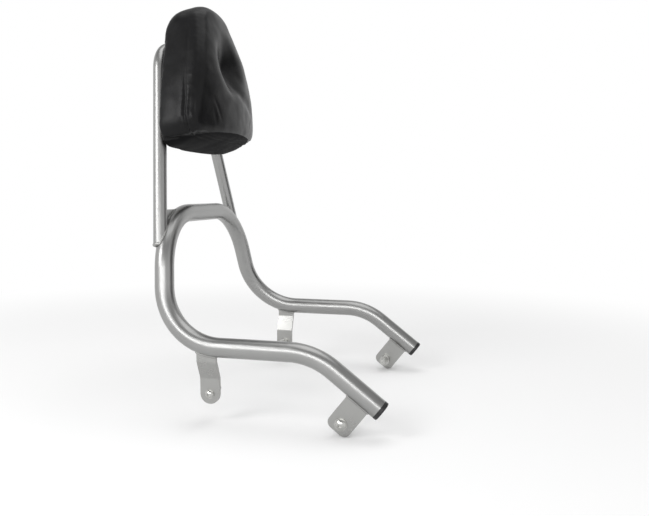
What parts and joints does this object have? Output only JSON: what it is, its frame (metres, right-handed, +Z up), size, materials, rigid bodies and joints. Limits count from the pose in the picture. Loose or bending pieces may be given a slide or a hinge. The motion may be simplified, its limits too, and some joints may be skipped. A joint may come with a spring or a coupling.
{
  "type": "sissy bar",
  "caption": "Tubular passenger backrest for a motorcycle: bent carrier tube, hoop with a tapered leather pad, and bolted tabs for the fender rails.",
  "frame": {"origin": "mid-plane of the part, on the common axis of the two rear mounting bolts", "axes": "+X forward as fitted on the motorcycle, +Y to its left along the rear bolts, +Z up"},
  "size_m": [0.3537, 0.355, 0.56],
  "materials": {
    "bar_chrome": "polished plated steel tube",
    "tab_steel": "satin plated flat steel",
    "fastener_steel": "zinc plated fasteners",
    "plug_black": "black moulded end plug",
    "board_plywood": "plain plywood",
    "pad_leather": "black semi-gloss leather over foam"
  },
  "bodies": {
    "root": {"backrest_hoop": "bar_chrome", "carrier_tube": "bar_chrome", "end_plug_left": "plug_black", "end_plug_right": "plug_black", "front_bolts": "fastener_steel", "front_spacers": "fastener_steel", "front_tab_left": "tab_steel", "front_tab_right": "tab_steel", "front_washers": "fastener_steel", "gusset_left": "bar_chrome", "gusset_right": "bar_chrome", "pad_bar_lower": "tab_steel", "pad_bar_upper": "tab_steel", "pad_board": "board_plywood", "pad_cushion": "pad_leather", "pad_screws": "fastener_steel", "pad_tee_nuts": "fastener_steel", "pad_washers": "fastener_steel", "rear_bolts": "fastener_steel", "rear_spacers": "fastener_steel", "rear_tab_left": "tab_steel", "rear_tab_right": "tab_steel", "rear_washers": "fastener_steel"}
  },
  "joints": []
}
